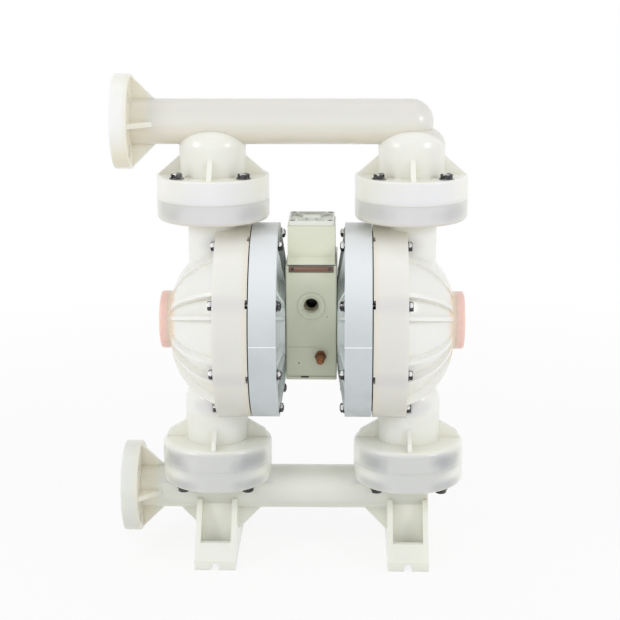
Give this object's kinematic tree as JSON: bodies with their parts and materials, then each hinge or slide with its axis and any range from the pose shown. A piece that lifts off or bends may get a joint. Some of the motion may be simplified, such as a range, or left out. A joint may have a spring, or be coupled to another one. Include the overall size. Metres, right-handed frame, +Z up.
{
  "type": "air operated diaphragm pump",
  "caption": "Air operated double diaphragm pump with flanged manifolds, bolted translucent plastic chambers, ball check valves and moulded feet.",
  "frame": {"origin": "on the floor, midway between the four anchor slots of the feet", "axes": "+Z up; +X away from the flanged ends, along the main shaft; +Y to the rear, away from the air inlet face"},
  "size_m": [0.5705, 0.322, 0.8076],
  "materials": {
    "natural_polypropylene": "natural translucent moulded polypropylene, satin",
    "grey_polypropylene": "pale blue-grey glass filled polypropylene, satin",
    "cream_polypropylene": "greenish cream moulded plastic, satin",
    "pale_polypropylene": "pale grey moulded plastic, satin",
    "pink_polypropylene": "pink tinted translucent plastic",
    "white_polypropylene": "white moulded plastic",
    "white_ptfe": "smooth white",
    "dark_acetal": "machined dark plastic",
    "black_elastomer": "matt",
    "aluminium_plate": "machined",
    "stainless_steel": "bright rolled stainless",
    "sintered_bronze": "grainy sintered bronze",
    "copper_brown_plate": "brown metal strip, blank"
  },
  "bodies": {
    "housing": {"air_chamber_left": "grey_polypropylene", "air_chamber_right": "grey_polypropylene", "air_valve_body": "cream_polypropylene", "air_valve_cap": "pale_polypropylene", "air_valve_gasket": "black_elastomer", "air_valve_screws": "stainless_steel", "air_valve_sleeve": "dark_acetal", "block_bolts_left": "stainless_steel", "block_bolts_right": "stainless_steel", "block_gasket_left": "black_elastomer", "block_gasket_right": "black_elastomer", "boss_cap_left": "pink_polypropylene", "boss_cap_right": "pink_polypropylene", "center_block": "cream_polypropylene", "chamber_bolts_left": "stainless_steel", "chamber_bolts_right": "stainless_steel", "chamber_nuts_left": "stainless_steel", "chamber_nuts_right": "stainless_steel", "diaphragm_left": "black_elastomer", "diaphragm_right": "black_elastomer", "discharge_joint_bolts": "stainless_steel", "discharge_joint_inserts": "stainless_steel", "discharge_manifold": "natural_polypropylene", "discharge_seat_left": "white_polypropylene", "discharge_seat_right": "white_polypropylene", "discharge_seat_ring_left": "black_elastomer", "discharge_seat_ring_right": "black_elastomer", "fluid_chamber_left": "natural_polypropylene", "fluid_chamber_right": "natural_polypropylene", "name_plate": "copper_brown_plate", "name_plate_pins": "stainless_steel", "pilot_bushes": "dark_acetal", "shaft_bushes": "dark_acetal", "shaft_seals": "black_elastomer", "suction_joint_bolts": "stainless_steel", "suction_joint_inserts": "stainless_steel", "suction_manifold": "natural_polypropylene", "suction_seat_left": "white_polypropylene", "suction_seat_right": "white_polypropylene", "suction_seat_ring_left": "black_elastomer", "suction_seat_ring_right": "black_elastomer", "vent_silencer": "sintered_bronze"},
    "shaft_assembly": {"main_shaft": "stainless_steel", "inner_plate_left": "aluminium_plate", "inner_plate_right": "aluminium_plate", "outer_plate_left": "white_polypropylene", "outer_plate_right": "white_polypropylene", "plate_bolt_left": "stainless_steel", "plate_bolt_right": "stainless_steel"},
    "pilot": {"pilot_rod": "stainless_steel"},
    "spool": {"air_valve_spool": "aluminium_plate"},
    "suction_ball_body_left": {"suction_ball_left": "white_ptfe"},
    "suction_ball_body_right": {"suction_ball_right": "white_ptfe"},
    "discharge_ball_body_left": {"discharge_ball_left": "white_ptfe"},
    "discharge_ball_body_right": {"discharge_ball_right": "white_ptfe"}
  },
  "joints": [
    {"name": "shaft_stroke", "type": "slide", "parent": "housing", "child": "shaft_assembly", "axis": [1, 0, 0], "range_m": [-0.018, 0.018], "deforming": ["diaphragm_left", "diaphragm_right"]},
    {"name": "pilot_shift", "type": "slide", "parent": "housing", "child": "pilot", "axis": [1, 0, 0], "range_m": [-0.006, 0.006]},
    {"name": "spool_shift", "type": "slide", "parent": "housing", "child": "spool", "axis": [0, 0, 1], "range_m": [0, 0.012]},
    {"name": "suction_ball_lift_left", "type": "slide", "parent": "housing", "child": "suction_ball_body_left", "axis": [0, 0, 1], "range_m": [0, 0.02]},
    {"name": "suction_ball_lift_right", "type": "slide", "parent": "housing", "child": "suction_ball_body_right", "axis": [0, 0, 1], "range_m": [0, 0.02]},
    {"name": "discharge_ball_lift_left", "type": "slide", "parent": "housing", "child": "discharge_ball_body_left", "axis": [0, 0, 1], "range_m": [0, 0.02]},
    {"name": "discharge_ball_lift_right", "type": "slide", "parent": "housing", "child": "discharge_ball_body_right", "axis": [0, 0, 1], "range_m": [0, 0.02]}
  ],
  "couplings": [
    {"joint": "pilot_shift", "follows": "shaft_stroke", "ratio": 0.33333}
  ]
}
